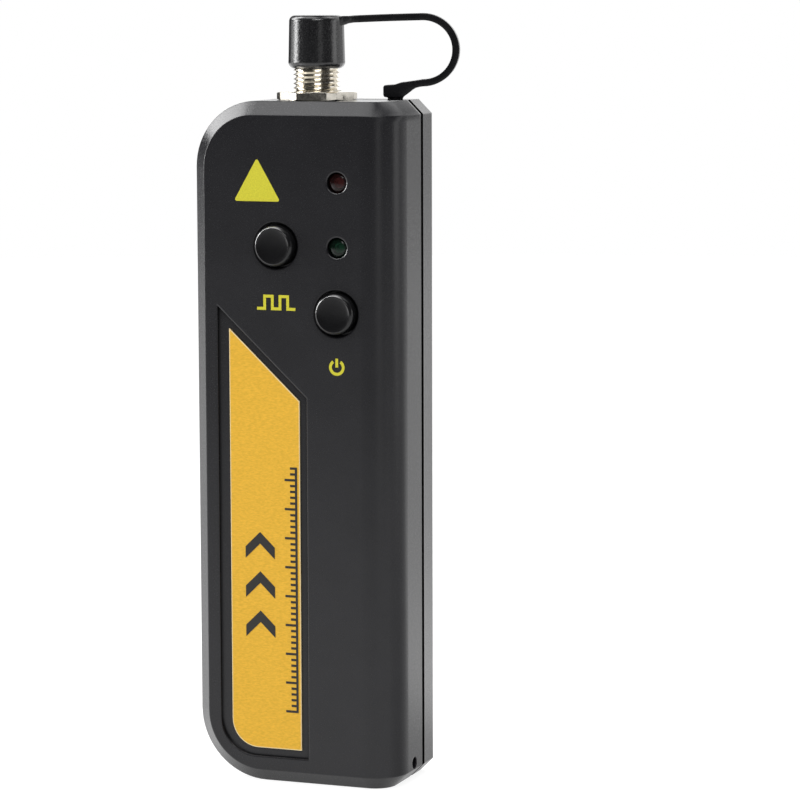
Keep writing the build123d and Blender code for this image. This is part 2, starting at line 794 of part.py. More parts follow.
# ---------------------------------------------------------------- cells, springs and contacts
def make_cell(side):
    """The left cell stands nub up, and the right one nub down."""
    low = bay_bottom + contact_thickness + (spring_height if side < 0 else contact_boss_height)
    high = low + cell_length
    body_low = low if side < 0 else low + cell_nub_height
    body = rod_z(side * cell_x, cell_y, cell_radius, body_low, body_low + cell_length - cell_nub_height)
    body = fillet(body.edges().filter_by(GeomType.CIRCLE), 2 * edge_ease)
    nub = (high - cell_nub_height, high) if side < 0 else (low, low + cell_nub_height)
    return body + rod_z(side * cell_x, cell_y, cell_nub_radius, *nub)


def make_battery_springs():
    """Coil springs: under the left cell, and over the right one."""
    springs = []
    rise = spring_height - 2 * spring_wire_radius
    left_z = bay_bottom + contact_thickness + spring_wire_radius
    right_z = bay_top - contact_thickness - spring_height + spring_wire_radius
    for x, z in ((-cell_x, left_z), (cell_x, right_z)):
        path = Helix(rise / spring_turns, rise, spring_radius)
        section = Plane(origin=path @ 0, z_dir=path % 0) * Circle(spring_wire_radius)
        springs.append(Pos(x, cell_y, z) * sweep(section, path=path, is_frenet=True))
    return group(springs)


def contact_plate(x_span, z_span):
    return block(x_span, (cell_y - contact_half_width, cell_y + contact_half_width), z_span)


def make_contact_bridge():
    """Joins the two cells at the bottom of the bay."""
    top = bay_bottom + contact_thickness
    reach = cell_x + contact_half_width
    plate = contact_plate((-reach, reach), (bay_bottom, top))
    return plate + rod_z(cell_x, cell_y, contact_boss_radius, top, top + contact_boss_height)


def make_board_contact(side):
    """Plate over one cell, with a tab up to the board; the left one meets a cell's nub."""
    x = side * cell_x
    low = bay_top - contact_thickness
    plate = contact_plate((x - contact_half_width, x + contact_half_width), (low, bay_top))
    tab_y = (board_back_y, board_back_y + contact_thickness)
    tab_x = (x - tab_half_width, x + tab_half_width)
    plate += block(tab_x, tab_y, (low, board_bottom + tab_overlap))
    plate += block(tab_x, (board_back_y, cell_y), (low, bay_top))
    if side < 0:
        plate += rod_z(x, cell_y, contact_boss_radius, low - contact_boss_height, low)
    return plate


# ---------------------------------------------------------------- screws
def cross_recess(x, z, head_y, depth, reach):
    """A cross-shaped tool recess in a screw head that faces +Y."""
    y = (head_y - depth, head_y + depth)
    recess = block((x - reach, x + reach), y, (z - drive_arm, z + drive_arm))
    return recess + block((x - drive_arm, x + drive_arm), y, (z - reach, z + reach))


def make_screw(x, z, seat_y, radius, length, head_radius, head_height):
    head_y = seat_y + head_height
    head = rod_y(x, z, head_radius, seat_y, head_y)
    head = fillet(head.faces().sort_by(Axis.Y)[-1].edges(), head_height / 3)
    screw = head + rod_y(x, z, radius, seat_y - length, seat_y)
    return screw - cross_recess(x, z, head_y, head_height / 2, head_radius - drive_margin)


def make_shell_screws():
    sizes = (shell_screw_radius, shell_screw_length, shell_screw_head_radius, shell_screw_head_height)
    seat_y = back_y - shell_screw_seat
    return group([make_screw(x, z, seat_y, *sizes) for x, z in shell_screw_places])


def make_board_screws():
    sizes = (board_screw_radius, board_screw_length, board_screw_head_radius, board_screw_head_height)
    return group([make_screw(x, z, board_back_y, *sizes) for x, z in board_screw_places])


# ---------------------------------------------------------------- all pieces
nodes = {
    "front_shell": make_front_shell(),
    "rear_shell": make_rear_shell(),
    "battery_door": make_battery_door(),
    "label": make_label(),
    "label_marks": make_label_marks(),
    "front_marks": make_front_marks(),
    "button_mod": make_button("mod"),
    "button_pwr": make_button("pwr"),
    "plunger_mod": make_plunger("mod"),
    "plunger_pwr": make_plunger("pwr"),
    "tact_switches": make_tact_switches(),
    "lamp_red": make_lamp("red"),
    "lamp_green": make_lamp("green"),
    "lamp_leads": make_lamp_leads(),
    "circuit_board": make_board(),
    "driver_chip": make_driver_chip(),
    "small_chips": make_small_chips(),
    "laser_housing": make_laser_housing(),
    "laser_diode": make_laser_diode(),
    "diode_leads": make_diode_leads(),
    "focus_lens": make_focus_lens(),
    "port_barrel": make_port_barrel(),
    "ferrule_sleeve": make_ferrule_sleeve(),
    "port_nut": make_port_nut(),
    "dust_cap": make_dust_cap(),
    "cap_strap": make_cap_strap(),
    "cell_left": make_cell(-1),
    "cell_right": make_cell(1),
    "battery_springs": make_battery_springs(),
    "contact_bridge": make_contact_bridge(),
    "contact_positive": make_board_contact(-1),
    "contact_negative": make_board_contact(1),
    "shell_screws": make_shell_screws(),
    "board_screws": make_board_screws(),
}

os.makedirs("parts", exist_ok=True)
for name, solid in nodes.items():
    export_step(solid, f"parts/{name}.step")
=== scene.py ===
"""Looks for the visual fault locator: a black pocket tool with a fibre port under a rubber cap."""
import math

import bmesh
import bpy
from mathutils import Matrix, Vector


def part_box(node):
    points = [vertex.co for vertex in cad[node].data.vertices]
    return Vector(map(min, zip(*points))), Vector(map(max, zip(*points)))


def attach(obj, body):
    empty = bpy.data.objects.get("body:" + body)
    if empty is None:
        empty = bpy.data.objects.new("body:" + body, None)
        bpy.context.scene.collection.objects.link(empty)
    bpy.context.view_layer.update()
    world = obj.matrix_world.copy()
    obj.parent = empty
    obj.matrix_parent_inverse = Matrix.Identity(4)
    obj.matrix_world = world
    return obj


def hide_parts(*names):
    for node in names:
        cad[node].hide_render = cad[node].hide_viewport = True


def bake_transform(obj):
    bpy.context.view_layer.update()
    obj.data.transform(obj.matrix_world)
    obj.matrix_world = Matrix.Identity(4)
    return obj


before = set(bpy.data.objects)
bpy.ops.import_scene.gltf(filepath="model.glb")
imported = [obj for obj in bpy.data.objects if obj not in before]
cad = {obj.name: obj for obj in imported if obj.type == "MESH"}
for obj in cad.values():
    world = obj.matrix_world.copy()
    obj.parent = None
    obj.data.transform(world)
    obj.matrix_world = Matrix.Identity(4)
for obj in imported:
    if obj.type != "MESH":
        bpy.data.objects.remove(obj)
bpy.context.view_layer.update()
mm = 0.001
quarter_turn = math.pi / 2
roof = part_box("front_shell")[1].z


# ---------------------------------------------------------------- handling
def put_down_all():
    """Leaves nothing selected."""
    if bpy.context.object and bpy.context.object.mode != "OBJECT":
        bpy.ops.object.mode_set(mode="OBJECT")
    bpy.ops.object.select_all(action="DESELECT")


def pick_up(piece):
    """Selects this piece alone."""
    put_down_all()
    piece.select_set(True)
    bpy.context.view_layer.objects.active = piece


def middle_of(node):
    """X, Y and Z of the middle of a CAD node."""
    return [(low + high) / 2 for low, high in zip(*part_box(node))]


# ---------------------------------------------------------------- camera
sensor = 36                     # mm
focal = 153.0                   # mm
eye = Vector((0.21855, -0.53612, 0.13779))
turn = math.radians(20.723)     # to the right of straight on
tilt = math.radians(7.129)      # looking down
roll = math.radians(-0.182)

forward = Vector((
    -math.sin(turn) * math.cos(tilt), math.cos(turn) * math.cos(tilt), -math.sin(tilt),
))
level = Vector((math.cos(turn), math.sin(turn), 0))
upright = level.cross(forward)
right = math.cos(roll) * level + math.sin(roll) * upright
up = math.cos(roll) * upright - math.sin(roll) * level

lens = bpy.data.cameras.new("camera")
lens.lens = focal
lens.sensor_width = sensor
lens.clip_start = 0.01
lens.clip_end = 20
camera = bpy.data.objects.new("camera", lens)
bpy.context.scene.collection.objects.link(camera)
axes = Matrix((right, up, -forward)).transposed()
camera.matrix_world = Matrix.Translation(eye) @ axes.to_4x4()
bpy.context.scene.camera = camera
bpy.context.scene.view_settings.view_transform = "Standard"


# ---------------------------------------------------------------- shading
class Shading:
    """A node tree, with short names for the steps that steer its light and surface."""

    def __init__(self, tree):
        self.nodes = tree.nodes
        self.links = tree.links

    def feed(self, socket, value):
        """Links an output to the socket, or sets a plain value on it."""
        if isinstance(value, bpy.types.NodeSocket):
            self.links.new(value, socket)
        else:
            socket.default_value = value

    def work_out(self, kind, operation, values, output):
        node = self.nodes.new(kind)
        node.operation = operation
        for socket, value in zip(node.inputs, values):
            self.feed(socket, value)
        return node.outputs[output]

    def combine(self, operation, *values):
        return self.work_out("ShaderNodeMath", operation, values, "Value")

    def combine_vectors(self, operation, *values, output="Vector"):
        return self.work_out("ShaderNodeVectorMath", operation, values, output)

    def product(self, *values):
        total = values[0]
        for value in values[1:]:
            total = self.combine("MULTIPLY", total, value)
        return total

    def along(self, vector, heading):
        """How far the vector goes in one direction."""
        return self.combine_vectors("DOT_PRODUCT", vector, heading, output="Value")

    def axes(self, vector):
        """The vector's X, Y and Z."""
        split = self.nodes.new("ShaderNodeSeparateXYZ")
        self.links.new(vector, split.inputs[0])
        return split.outputs

    def ramp(self, value, start, stop, low, high, kind="LINEAR"):
        """Low where the value is at start, high at stop, in a straight line between them."""
        node = self.nodes.new("ShaderNodeMapRange")
        node.interpolation_type = kind
        limits = {"From Min": start, "From Max": stop, "To Min": low, "To Max": high}
        for name, number in limits.items():
            node.inputs[name].default_value = number
        self.links.new(value, node.inputs["Value"])
        return node.outputs["Result"]

    def fade(self, value, start, stop, low, high):
        """A ramp with soft ends."""
        return self.ramp(value, start, stop, low, high, "SMOOTHSTEP")

    def mix(self, share, one, other, kind="FLOAT"):
        """One where the share is 0, the other where it is 1."""
        node = self.nodes.new("ShaderNodeMix")
        node.data_type = kind
        for name, value in (("Factor", share), ("A", one), ("B", other)):
            self.feed(node.inputs[name], value)
        return node.outputs["Result"]


# ---------------------------------------------------------------- studio
half_way_up = Vector((0, 0, 0.065))


def soft_light(name, place, width, height, radiance):
    """A flat soft box that faces the object; radiance is what a mirror would see of it."""
    data = bpy.data.lights.new(name, "AREA")
    data.shape = "RECTANGLE"
    data.size = width
    data.size_y = height
    data.energy = radiance * math.pi * width * height
    lamp = bpy.data.objects.new(name, data)
    bpy.context.scene.collection.objects.link(lamp)
    lamp.location = place
    aim = half_way_up - Vector(place)
    lamp.rotation_euler = aim.to_track_quat("-Z", "Y").to_euler()


soft_light("key_left", (-0.70, 0.10, 0.64), 0.44, 0.66, 7.0)
soft_light("side_right", (0.78, 0.15, 0.06), 0.30, 0.50, 1.7)
soft_light("overhead", (-0.15, -0.18, 0.95), 0.84, 0.50, 2.3)
soft_light("side_left", (-0.86, -0.25, 0.27), 0.30, 0.46, 11.0)
soft_light("overhead_back", (0.33, 0.24, 0.86), 0.56, 0.40, 1.8)
soft_light("front_fill", (0.45, -0.95, 0.95), 0.60, 0.40, 6.5)


def make_world():
    """White to the eye and behind the object in its gloss, dimmer in front."""
    world = bpy.data.worlds.new("studio")
    bpy.context.scene.world = world
    world.use_nodes = True
    studio = Shading(world.node_tree)
    studio.nodes.clear()
    output = studio.nodes.new("ShaderNodeOutputWorld")
    background = studio.nodes.new("ShaderNodeBackground")
    studio.links.new(background.outputs[0], output.inputs[0])
    background.inputs["Color"].default_value = (1, 1, 1, 1)
    way = studio.axes(studio.nodes.new("ShaderNodeTexCoord").outputs["Generated"])

    def window(radiance, *edges):
        """A soft-edged panel; an edge is an axis, where the light starts and where it is full."""
        sides = [studio.fade(way[axis], start, full, 0.0, 1.0) for axis, start, full in edges]
        return studio.product(radiance, *sides)

    # what a mirror would see: white behind the object, and brighter from eye height up
    backdrop = studio.fade(way["Y"], 0.74, 0.97, 0.02, 0.85)
    light = studio.product(backdrop, studio.fade(way["Z"], -0.02, 0.10, 1.0, 2.1))
    for panel in (
        # high up behind on the right, for the upper right corner of the case
        window(1.15, ("X", 0.10, 0.24), ("Y", 0.14, 0.34), ("Z", 0.0, 0.16)),
        # at eye height left, right and in front on the right, for the flats of the nut
        window(
            1.6, ("X", -0.8, -0.9), ("Y", -0.1, -0.02), ("Y", 0.37, 0.22),
            ("Z", -0.12, -0.06), ("Z", 0.12, 0.04),
        ),
        window(0.9, ("X", 0.5, 0.62), ("Y", 0.4, 0.5), ("Z", -0.10, -0.05), ("Z", 0.1, 0.03)),
        window(
            1.1, ("X", 0.46, 0.54), ("X", 0.74, 0.66), ("Y", -0.5, -0.6),
            ("Z", -0.09, -0.05), ("Z", 0.1, 0.03),
        ),
    ):
        light = studio.combine("MAXIMUM", light, panel)

    on_matt = 0.78
    to_eye = 1.0
    rays = studio.nodes.new("ShaderNodeLightPath").outputs
    on_object = studio.mix(rays["Is Glossy Ray"], on_matt, light)
    seen = studio.combine("MAXIMUM", rays["Is Camera Ray"], rays["Is Transmission Ray"])
    studio.feed(background.inputs["Strength"], studio.mix(seen, on_object, to_eye))


def make_floor():
    """White sheet under the object, bright to the eye, with a faint shadow."""
    bpy.ops.mesh.primitive_circle_add(vertices=96, radius=1.1, fill_type="NGON")
    sheet = bpy.context.object
    sheet.name = "floor"
    material = bpy.data.materials.new("paper_white")
    material.use_nodes = True
    paper = Shading(material.node_tree)
    shader = paper.nodes["Principled BSDF"]
    shader.inputs["Roughness"].default_value = 1.0
    shader.inputs["Specular IOR Level"].default_value = 0.0
    shader.inputs["Emission Color"].default_value = (1, 1, 1, 1)
    place = paper.nodes.new("ShaderNodeTexCoord").outputs["Object"]
    ahead = paper.axes(place)["Y"]
    away = paper.along(place, (-1.1, 1.0, 0))
    aside = paper.along(place, (-0.94, 0.34, 0))
    paper.feed(shader.inputs["Base Color"], paper.fade(aside, 0.12, 0.4, 0.25, 0.05))

    # what the gloss of the case sees of the sheet: brightest to the left, dim far in front
    front = paper.fade(ahead, -0.75, -0.05, 0.0, 0.62)
    near = paper.product(
        paper.fade(away, 0.0, 0.03, 0.0, 0.72), paper.fade(away, 0.04, 0.14, 1.0, 0.34)
    )
    behind = paper.combine("ADD", near, paper.fade(away, 0.40, 0.5, 0.0, 0.42))
    left = paper.product(
        paper.fade(aside, 0.02, 0.10, 0.0, 0.34), paper.fade(aside, 0.08, 0.5, 1.0, 0.0)
    )
    gloss = paper.combine("ADD", paper.combine("ADD", front, behind), left)
    rays = paper.nodes.new("ShaderNodeLightPath").outputs
    seen = paper.product(rays["Is Camera Ray"], paper.fade(aside, 0.12, 0.4, 0.87, 1.0))
    mirrored = paper.product(rays["Is Glossy Ray"], gloss)
    paper.feed(shader.inputs["Emission Strength"], paper.combine("ADD", seen, mirrored))
    sheet.data.materials.append(material)


put_down_all()
make_world()
make_floor()


# ---------------------------------------------------------------- finishes
noise_middle = (0.3, 0.7)       # most of a noise lies between these
etched = 6500                   # lumps to the metre in the fine grain of a mould
cloudy = 160                    # and in the slow changes of its tone
to_key = (-0.75, 0, 0.66)       # up and left, where the brightest light comes from
edge_samples = 8


class Finish(Shading):
    """One material, with short names for what gives it its surface."""

    def __init__(self, name):
        self.material = bpy.data.materials.new(name)
        self.material.use_nodes = True
        super().__init__(self.material.node_tree)
        self.shader = self.nodes["Principled BSDF"]
        self.place = self.nodes.new("ShaderNodeTexCoord").outputs["Object"]

    def give(self, name, value):
        """Sets or steers one property of the surface."""
        self.feed(self.shader.inputs[name], value)

    def grain(self, scale, detail=2.0, stretch=(1, 1, 1), roughness=0.5):
        """Cloudy noise, with so many lumps to the metre."""
        where = self.nodes.new("ShaderNodeMapping")
        where.inputs["Scale"].default_value = stretch
        self.links.new(self.place, where.inputs["Vector"])
        noise = self.nodes.new("ShaderNodeTexNoise")
        noise.inputs["Scale"].default_value = scale
        noise.inputs["Detail"].default_value = detail
        noise.inputs["Roughness"].default_value = roughness
        self.links.new(where.outputs[0], noise.inputs["Vector"])
        return noise.outputs["Fac"]

    def tint(self, noise, dark, light):
        """Colour between two tones."""
        ramp = self.nodes.new("ShaderNodeValToRGB")
        for stop, position, tone in zip(ramp.color_ramp.elements, noise_middle, (dark, light)):
            stop.position = position
            stop.color = (*tone, 1)
        self.links.new(noise, ramp.inputs["Fac"])
        return ramp.outputs["Color"]

    def own_normal(self):
        return self.nodes.new("ShaderNodeNewGeometry").outputs["Normal"]

    def rounded(self, radius):
        """The normal as if sharp edges were round."""
        bevel = self.nodes.new("ShaderNodeBevel")
        bevel.samples = edge_samples
        bevel.inputs["Radius"].default_value = radius
        return bevel.outputs[0]

    def off_axis(self, *pair):
        """Distance from the axis of the nearer of two round pieces that face front."""
        reaches = []
        for name in pair:
            x, _, z = middle_of(name)
            across = self.combine_vectors("MULTIPLY", self.place, (1, 0, 1))
            reaches.append(self.combine_vectors("DISTANCE", across, (x, 0, z), output="Value"))
        return self.combine("MINIMUM", *reaches)

    def painted_glint_to_key(self, normal, low, high):
        """High where the surface leans towards the brightest light; used to paint highlights
        there.
        """
        return self.ramp(self.along(normal, to_key), 0.05, 0.45, low, high)

    def relief(self, noise, height):
        """Raises the surface by up to this height, on top of the normal that it has already."""
        bump = self.nodes.new("ShaderNodeBump")
        bump.inputs["Strength"].default_value = 1.0
        bump.inputs["Distance"].default_value = height
        self.links.new(noise, bump.inputs["Height"])
        before = self.shader.inputs["Normal"].links
        if before:
            self.links.new(before[0].from_socket, bump.inputs["Normal"])
        self.links.new(bump.outputs[0], self.shader.inputs["Normal"])


def shell_black(name, dark, light):
    """Moulded black of the case: softly rounded edges, painted shade in its hollows and groove,
    and painted highlights on some rims and edges.
    """
    finish = Finish(name)
    across, depth, rise = finish.axes(finish.place)
    rounded = finish.rounded(0.32 * mm)
    groove_front = 3.20 * mm
    groove_back = 4.34 * mm

    # the front half's upper right end is blended forward into the side's large round
    at_top = finish.ramp(rise, roof - 3.4 * mm, roof - 1.8 * mm, 0.0, 1.0)
    at_right = finish.ramp(across, 14.5 * mm, 16.5 * mm, 0.0, 1.0)
    lean = finish.ramp(depth, -4.5 * mm, 2.6 * mm, -0.30, -0.13)
    before_groove = finish.ramp(depth, 2.6 * mm, 2.8 * mm, 1.0, 0.0)
    push = finish.nodes.new("ShaderNodeCombineXYZ")
    finish.feed(push.inputs["Y"], finish.product(at_top, at_right, lean, before_groove))
    blend = finish.combine_vectors("ADD", rounded, push.outputs[0])
    finish.give("Normal", finish.combine_vectors("NORMALIZE", blend))

    # painted shade: hollows are darkened in colour and shine by ambient occlusion, but for the
    # foot on its bright sheet, and the groove is painted black
    hollow = finish.nodes.new("ShaderNodeAmbientOcclusion")
    hollow.samples = edge_samples
    hollow.inputs["Distance"].default_value = 1.6 * mm
    clear_of_hollow_shade = finish.ramp(hollow.outputs["AO"], 0.45, 0.93, 0.3, 1.0)
    at_foot = finish.ramp(rise, 2.2 * mm, 3.4 * mm, 1.0, 0.0)
    behind_groove = finish.ramp(depth, groove_back, groove_back + 0.06 * mm, 0.0, 1.0)
    ahead_of_groove = finish.ramp(depth, groove_front, groove_front + 0.08 * mm, 1.0, 0.0)
    clear_of_painted_shade = finish.product(
        finish.combine("MAXIMUM", clear_of_hollow_shade, at_foot),
        finish.combine("MAXIMUM", behind_groove, ahead_of_groove),
    )
    painted_groove_shade = (0.002, 0.002, 0.002, 1)
    tone = finish.tint(finish.grain(cloudy, 3.0), dark, light)
    finish.give("Base Color", finish.mix(clear_of_painted_shade, painted_groove_shade, tone, "RGBA"))

    # the rear half is a little shinier, and a band along its edge at the groove is shinier still,
    # a painted highlight
    front_gloss = finish.product(
        finish.ramp(rise, 75 * mm, 100 * mm, 0.455, 0.53),
        finish.ramp(across, 16.5 * mm, 17.8 * mm, 1.0, 0.60),
    )
    rear_gloss_and_edge_highlight = finish.ramp(depth, groove_back + 0.08 * mm, 4.85 * mm, 1.5, 0.68)
    gloss = finish.mix(behind_groove, front_gloss, rear_gloss_and_edge_highlight)
    # painted highlight: the rims of the lamp holes get extra shine where they face the brightest
    # light
    from_lamp = finish.off_axis("lamp_red", "lamp_green")
    painted_rim_highlight = finish.product(
        finish.ramp(from_lamp, 1.92 * mm, 2.00 * mm, 1.0, 0.0),
        finish.painted_glint_to_key(rounded, 0.0, 2.0),
    )
    # the shine is dimmed by the painted shade, and the painted rim highlight is added on top
    shine = finish.combine("ADD", finish.product(gloss, clear_of_painted_shade), painted_rim_highlight)
    finish.give("Specular IOR Level", shine)

    fine = finish.grain(etched)
    finish.give("Roughness", finish.ramp(fine, *noise_middle, 0.2, 0.28))
    finish.relief(fine, 0.014 * mm)
    return finish


def moulded(name, dark, light, low=0.2, high=0.28, lumps=etched, height=0.010 * mm):
    """Moulded plastic with the fine etched grain of its mould; low and high are roughness."""
    finish = Finish(name)
    fine = finish.grain(lumps)
    finish.give("Base Color", finish.tint(finish.grain(cloudy, 3.0), dark, light))
    finish.give("Roughness", finish.ramp(fine, *noise_middle, low, high))
    finish.relief(fine, height)
    return finish


def key_plastic(name, dark, light):
    """Shiny black of the keys, with a duller face inside the lip and a painted highlight where the
    surface leans towards the brightest light.
    """
    finish = moulded(name, dark, light, 0.12, 0.2, 9000, 0.004 * mm)
    from_axis = finish.off_axis("button_mod", "button_pwr")
    lip = finish.ramp(from_axis, 2.78 * mm, 2.90 * mm, 0.6, 1.0)
    # painted highlight: more shine where the key leans towards the brightest light
    painted_key_highlight = finish.painted_glint_to_key(finish.own_normal(), 0.42, 2.6)
    finish.give("Specular IOR Level", finish.product(lip, painted_key_highlight))
    return finish


def ink(name, dark, light):
    finish = Finish(name)
    speck = finish.grain(4200)
    finish.give("Base Color", finish.tint(speck, dark, light))
    finish.give("Roughness", finish.ramp(speck, 0.0, 1.0, 0.35, 0.5))
    finish.relief(speck, 0.006 * mm)
    return finish


def metal(name, dark, light, low, high):
    """Bare or plated metal; low and high are roughness."""
    finish = Finish(name)
    finish.give("Metallic", 1.0)
    cloud = finish.grain(900, 3.0)
    finish.give("Base Color", finish.tint(cloud, dark, light))
    finish.give("Roughness", finish.ramp(cloud, *noise_middle, low, high))
    finish.relief(cloud, 0.001 * mm)
    return finish


def label_film(name, dark, light, edge_highlight_tone):
    """Film with the faint crosswise streaks of its print, and a painted highlight along its edge.
    """
    finish = Finish(name)
    streak = finish.grain(4400, 3.0, stretch=(0.35, 1, 1), roughness=0.65)
    # painted highlight: the film's edge, found by the rounded normal, is mixed towards a pale tone
    level_with_face = finish.along(finish.own_normal(), finish.rounded(0.30 * mm))
    edge_highlight_share = finish.ramp(level_with_face, 0.998, 0.95, 0.0, 1.0)
    tone = finish.tint(streak, dark, light)
    finish.give("Base Color", finish.mix(edge_highlight_share, tone, (*edge_highlight_tone, 1), "RGBA"))
    finish.give("Roughness", finish.ramp(finish.grain(220), 0.0, 1.0, 0.36, 0.46))
    finish.relief(streak, 0.006 * mm)
    return finish


def rubber(name, dark, light):
    """Shiny rubber with a dusty, slightly pitted skin, duller out along the strap."""
    finish = Finish(name)
    pits = finish.grain(3800, 3.0)
    finish.give("Base Color", finish.tint(finish.grain(300), dark, light))
    finish.give("Roughness", finish.ramp(pits, *noise_middle, 0.15, 0.3))
    across = finish.axes(finish.place)["X"]
    finish.give("Specular IOR Level", finish.ramp(across, 6.5 * mm, 8.5 * mm, 0.8, 0.22))
    finish.relief(pits, 0.024 * mm)
    return finish


def tinted_epoxy(name, colour):
    finish = Finish(name)
    finish.give("Transmission Weight", 0.85)
    finish.give("IOR", 1.36)
    finish.give("Base Color", (*colour, 1))
    finish.give("Roughness", finish.ramp(finish.grain(1500), 0.0, 1.0, 0.1, 0.18))
    return finish


def board_mask(name, dark, light):
    finish = Finish(name)
    weave = finish.grain(2500)
    finish.give("Base Color", finish.tint(weave, dark, light))
    finish.give("Roughness", finish.ramp(weave, 0.0, 1.0, 0.25, 0.35))
    finish.relief(weave, 0.004 * mm)
    return finish


# for each slot the kind of finish, its darker and lighter tone, and what else the kind takes
recipes = {
    "case_black": (shell_black, (0.0084, 0.0083, 0.0102), (0.0109, 0.0108, 0.0130)),
    "door_black": (shell_black, (0.0075, 0.0074, 0.0092), (0.0098, 0.0097, 0.0117)),
    "button_black": (key_plastic, (0.0062, 0.0062, 0.0068), (0.0082, 0.0082, 0.0088)),
    "switch_black": (moulded, (0.012, 0.012, 0.012), (0.016, 0.016, 0.016)),
    "chip_black": (moulded, (0.012, 0.012, 0.013), (0.02, 0.02, 0.021), 0.5, 0.6),
    "chip_tan": (moulded, (0.30, 0.20, 0.11), (0.40, 0.28, 0.16), 0.4, 0.5),
    "sleeve_white": (moulded, (0.80, 0.79, 0.75), (0.88, 0.87, 0.84), 0.12, 0.2),
    "cell_sleeve": (moulded, (0.02, 0.022, 0.026), (0.03, 0.032, 0.038), 0.2, 0.3),
    "print_black": (ink, (0.011, 0.010, 0.009), (0.018, 0.016, 0.014)),
    "print_yellow": (ink, (0.54, 0.50, 0.02), (0.68, 0.63, 0.035)),
    "port_nickel": (metal, (0.74, 0.70, 0.62), (0.82, 0.78, 0.70), 0.13, 0.2),
    "contact_nickel": (metal, (0.66, 0.65, 0.62), (0.74, 0.73, 0.70), 0.2, 0.32),
    "screw_steel": (metal, (0.45, 0.45, 0.46), (0.58, 0.58, 0.59), 0.22, 0.35),
    "lead_tin": (metal, (0.66, 0.66, 0.66), (0.78, 0.78, 0.78), 0.25, 0.4),
    "module_brass": (metal, (0.70, 0.50, 0.20), (0.80, 0.60, 0.28), 0.2, 0.3),
    "diode_gold": (metal, (0.78, 0.62, 0.30), (0.88, 0.72, 0.38), 0.15, 0.25),
    # the label's last tone is a painted highlight along its edge
    "label_yellow": (label_film, (0.68, 0.379, 0.020), (0.86, 0.490, 0.036), (0.92, 0.76, 0.46)),
    "cap_rubber": (rubber, (0.0062, 0.0062, 0.0072), (0.0095, 0.0095, 0.0105)),
    "board_green": (board_mask, (0.012, 0.10, 0.035), (0.02, 0.15, 0.055)),
    # tinted through, so of one tone only
    "lamp_red": (tinted_epoxy, (0.050, 0.012, 0.0115)),
    "lamp_green": (tinted_epoxy, (0.0085, 0.036, 0.019)),
    "lens_clear": (tinted_epoxy, (0.92, 0.96, 1.0)),
}
finishes = {slot: make(slot, *values).material for slot, (make, *values) in recipes.items()}


def wear(piece, slot):
    """Gives a piece its finish."""
    piece.data.materials.clear()
    piece.data.materials.append(finishes[slot])


for piece in cad.values():
    slot = piece.data.materials[0].name.split(".")[0]
    for index in range(len(piece.data.materials)):
        piece.data.materials[index] = finishes[slot]


# ---------------------------------------------------------------- modelling helpers
weld = 0.002 * mm               # points nearer than this become one
on_plane = 0.0005 * mm          # points nearer a cut than this lie in it
centre = 0.05 * mm              # radius of the ring that is filled over the axis


def settle():
    """Puts the held piece's place, turn and size into its mesh."""
    bpy.ops.object.transform_apply(location=True, rotation=True, scale=True)


def begin(name, size=(1, 1, 1)):
    """Names and sizes the primitive just added, and opens it for editing, all selected."""
    piece = bpy.context.object
    piece.name = name
    piece.scale = size
    settle()
    bpy.ops.object.mode_set(mode="EDIT")
    bpy.ops.mesh.select_all(action="SELECT")
    return piece


def lay(piece, place=(0, 0, 0), turns=(0, 0, 0)):
    """Turns a piece about the origin and then moves it."""
    pick_up(piece)
    piece.rotation_euler = turns
    piece.location = place
    settle()


def choose_none(piece):
    """The mesh that is open for editing, with nothing selected."""
    mesh = bmesh.from_edit_mesh(piece.data)
    for part in (mesh.verts, mesh.edges, mesh.faces):
        for element in part:
            element.select = False
    return mesh


def choose(piece, wanted):
    """In edit mode, selects the points whose place passes the test."""
    mesh = choose_none(piece)
    for point in mesh.verts:
        point.select = wanted(point.co)
    mesh.select_flush(True)
    bmesh.update_edit_mesh(piece.data)


def choose_rim(piece, wanted=lambda place: True):
    """In edit mode, selects the open edges whose middles pass the test."""
    bpy.ops.mesh.select_mode(type="EDGE")
    mesh = choose_none(piece)
    for edge in mesh.edges:
        if edge.is_boundary and wanted((edge.verts[0].co + edge.verts[1].co) / 2):
            edge.select_set(True)
    bmesh.update_edit_mesh(piece.data)


def chosen_reach(piece, middle):
    """Mean distance of the selected points from an upright axis."""
    mesh = bmesh.from_edit_mesh(piece.data)
    reaches = [(point.co.xy - Vector(middle)).length for point in mesh.verts if point.select]
    return sum(reaches) / len(reaches)


def outward():
    """Everything welded, with its faces turned outwards."""
    bpy.ops.mesh.select_all(action="SELECT")
    bpy.ops.mesh.remove_doubles(threshold=weld)
    bpy.ops.mesh.normals_make_consistent(inside=False)


def close_ends():
    """Fills the openings, and leaves everything welded and facing outwards."""
    bpy.ops.mesh.select_all(action="SELECT")
    bpy.ops.mesh.fill_holes(sides=0)
    outward()


def carve(piece, cutter):
    """Takes the cutter's shape out of the piece, and the cutter away."""
    pick_up(piece)
    cut = piece.modifiers.new("carve", "BOOLEAN")
    cut.operation = "DIFFERENCE"
    cut.object = cutter
    cut.solver = "EXACT"
    bpy.ops.object.modifier_apply(modifier=cut.name)
    bpy.data.objects.remove(cutter)


def ease(piece, width, angle, segments, harden=False):
    """Bevels the edges that are sharper than this angle, in degrees."""
    bevel = piece.modifiers.new("ease", "BEVEL")
    bevel.width = width
    bevel.segments = segments
    bevel.limit_method = "ANGLE"
    bevel.angle_limit = math.radians(angle)
    bevel.harden_normals = harden
    bpy.ops.object.modifier_apply(modifier=bevel.name)


def smooth(angle):
    """Shades the held piece smooth, apart from edges sharper than this angle, in degrees."""
    bpy.ops.object.shade_smooth_by_angle(angle=math.radians(angle))


